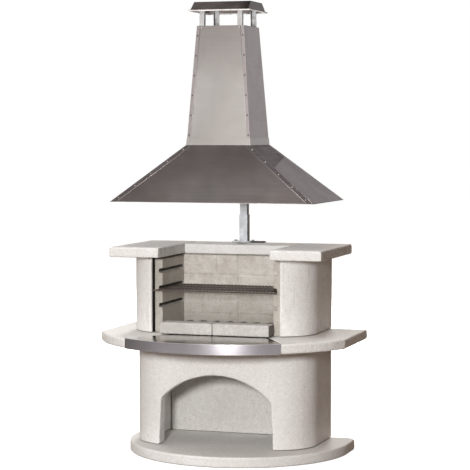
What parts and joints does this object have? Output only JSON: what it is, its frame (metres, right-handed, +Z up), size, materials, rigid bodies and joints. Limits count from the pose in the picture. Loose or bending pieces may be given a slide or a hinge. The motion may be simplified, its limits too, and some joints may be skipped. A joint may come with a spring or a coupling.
{
  "type": "outdoor masonry barbecue",
  "caption": "Garden barbecue of cast concrete blocks with a wood store, a slotted firebox with a wire grate, and a riveted steel hood on a telescopic mast.",
  "frame": {"origin": "on the ground, in the middle of the outline's width and depth", "axes": "+Z up, front towards -Y, +X to the right seen from the front"},
  "size_m": [1.312, 0.906, 2.338],
  "materials": {
    "concrete": "cast concrete, fine grain, matt",
    "curb_concrete": "cast concrete, white, scuffed",
    "fireclay": "fireclay, matt",
    "floor_fireclay": "fireclay, sooty",
    "trim_steel": "brushed stainless steel",
    "hood_steel": "dark brushed steel sheet",
    "stack_steel": "brushed steel sheet",
    "cap_steel": "dark steel sheet",
    "zinc_steel": "galvanised steel",
    "bolt_steel": "zinc-plated steel",
    "grate_steel": "used steel wire, heat-stained"
  },
  "bodies": {
    "masonry": {"base_slab": "concrete", "base_side_left": "concrete", "base_side_right": "concrete", "base_arch": "concrete", "base_back_wall": "concrete", "worktop_left": "concrete", "worktop_centre": "concrete", "worktop_right": "concrete", "worktop_trim": "trim_steel", "pillar_left": "concrete", "pillar_right": "concrete", "rear_wall": "concrete", "side_panel_left": "fireclay", "side_panel_right": "fireclay", "back_panel_upper_left": "fireclay", "back_panel_lower_left": "fireclay", "back_panel_upper_right": "fireclay", "back_panel_lower_right": "fireclay", "floor_plate_left": "floor_fireclay", "floor_plate_right": "floor_fireclay", "top_slab_left": "concrete", "top_slab_right": "concrete", "top_slab_back": "concrete", "mast_socket": "zinc_steel", "anchor_bolt_left": "bolt_steel", "anchor_bolt_right": "bolt_steel", "clamp_screw": "bolt_steel"},
    "hood": {"mast_tube": "zinc_steel", "hood_front": "hood_steel", "hood_back": "hood_steel", "hood_left": "hood_steel", "hood_right": "hood_steel", "stack_collar": "stack_steel", "stack_front": "stack_steel", "stack_back": "stack_steel", "stack_left": "stack_steel", "stack_right": "stack_steel", "cap": "cap_steel", "cap_leg_front_left": "zinc_steel", "cap_leg_front_right": "zinc_steel", "cap_leg_back_left": "zinc_steel", "cap_leg_back_right": "zinc_steel", "cap_bolt_front_left": "bolt_steel", "cap_bolt_front_right": "bolt_steel", "cap_bolt_back_left": "bolt_steel", "cap_bolt_back_right": "bolt_steel"},
    "grate": {"cooking_grate": "grate_steel"},
    "curb_left": {"curb_left": "curb_concrete"},
    "curb_right": {"curb_right": "curb_concrete"}
  },
  "joints": [
    {"name": "hood_height", "type": "slide", "parent": "masonry", "child": "hood", "axis": [0, 0, 1], "range_m": [-0.04, 0.04]},
    {"name": "grate_slide", "type": "slide", "parent": "masonry", "child": "grate", "axis": [0, -1, 0], "range_m": [0, 0.24]},
    {"name": "curb_left_slide", "type": "slide", "parent": "masonry", "child": "curb_left", "axis": [0, -1, 0], "range_m": [0, 0.12]},
    {"name": "curb_right_slide", "type": "slide", "parent": "masonry", "child": "curb_right", "axis": [0, -1, 0], "range_m": [0, 0.12]}
  ]
}
